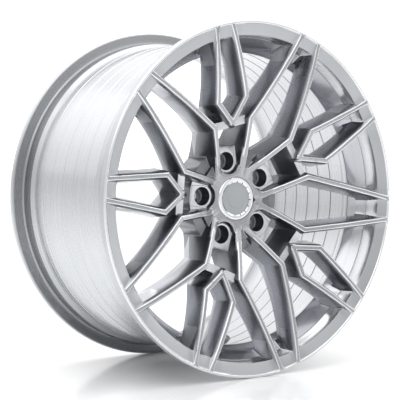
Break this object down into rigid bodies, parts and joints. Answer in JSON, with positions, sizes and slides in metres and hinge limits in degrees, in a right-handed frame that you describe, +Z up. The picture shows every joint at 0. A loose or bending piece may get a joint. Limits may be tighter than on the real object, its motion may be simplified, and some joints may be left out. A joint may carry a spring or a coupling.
{
  "type": "racing wheel rim",
  "caption": "Wide forged alloy racing wheel rim with split spokes, machined spoke tops, stepped barrel, centre cap and tyre valve.",
  "frame": {"origin": "middle of the rim: on the axle, halfway between the outer faces of the two flanges", "axes": "+Y along the axle towards the car, so the styled face looks towards -Y; +Z up, +X to the right of a viewer who looks at the face"},
  "size_m": [0.5172, 0.284, 0.5172],
  "materials": {
    "finish": "tinted brushed metal under clear lacquer, machined bright on the spoke tops and the lip",
    "barrel": "fine turned silver",
    "weld": "dressed aluminium weld",
    "steel": "plain machined steel",
    "dark_plastic": "matte black",
    "polished": "polished",
    "satin": "satin grey",
    "valve_metal": "anodised grey",
    "rubber": "smooth black",
    "brass": "turned"
  },
  "bodies": {
    "wheel": {"centre_forging": "finish", "rim_barrel": "barrel", "seam_weld": "weld", "lug_seat_1": "steel", "lug_seat_2": "steel", "lug_seat_3": "steel", "lug_seat_4": "steel", "lug_seat_5": "steel", "hub_ring": "dark_plastic", "valve_stem": "valve_metal", "valve_grommet": "rubber", "valve_washer": "steel", "valve_nut": "valve_metal", "valve_core_body": "brass", "valve_core_spring": "steel"},
    "centre_cap": {"cap_body": "dark_plastic", "cap_trim_ring": "polished", "cap_disc": "satin", "cap_wire_ring": "steel"},
    "core_pin": {"valve_core_pin": "brass", "valve_core_seal": "rubber"},
    "dust_cap": {"valve_dust_cap": "dark_plastic", "valve_dust_cap_seal": "rubber"}
  },
  "joints": [
    {"name": "centre_cap_pull", "type": "slide", "parent": "wheel", "child": "centre_cap", "axis": [0, -1, 0], "range_m": [0, 0.03], "deforming": ["cap_wire_ring"]},
    {"name": "dust_cap_unscrew", "type": "slide", "parent": "wheel", "child": "dust_cap", "axis": [0.1478, -0.7034, 0.6952], "range_m": [0, 0.014]},
    {"name": "core_pin_press", "type": "slide", "parent": "wheel", "child": "core_pin", "axis": [-0.1478, 0.7034, -0.6952], "range_m": [0, 0.0012], "stiffness_N_per_m": 900, "springref_m": -0.0006, "deforming": ["valve_core_spring"]}
  ]
}
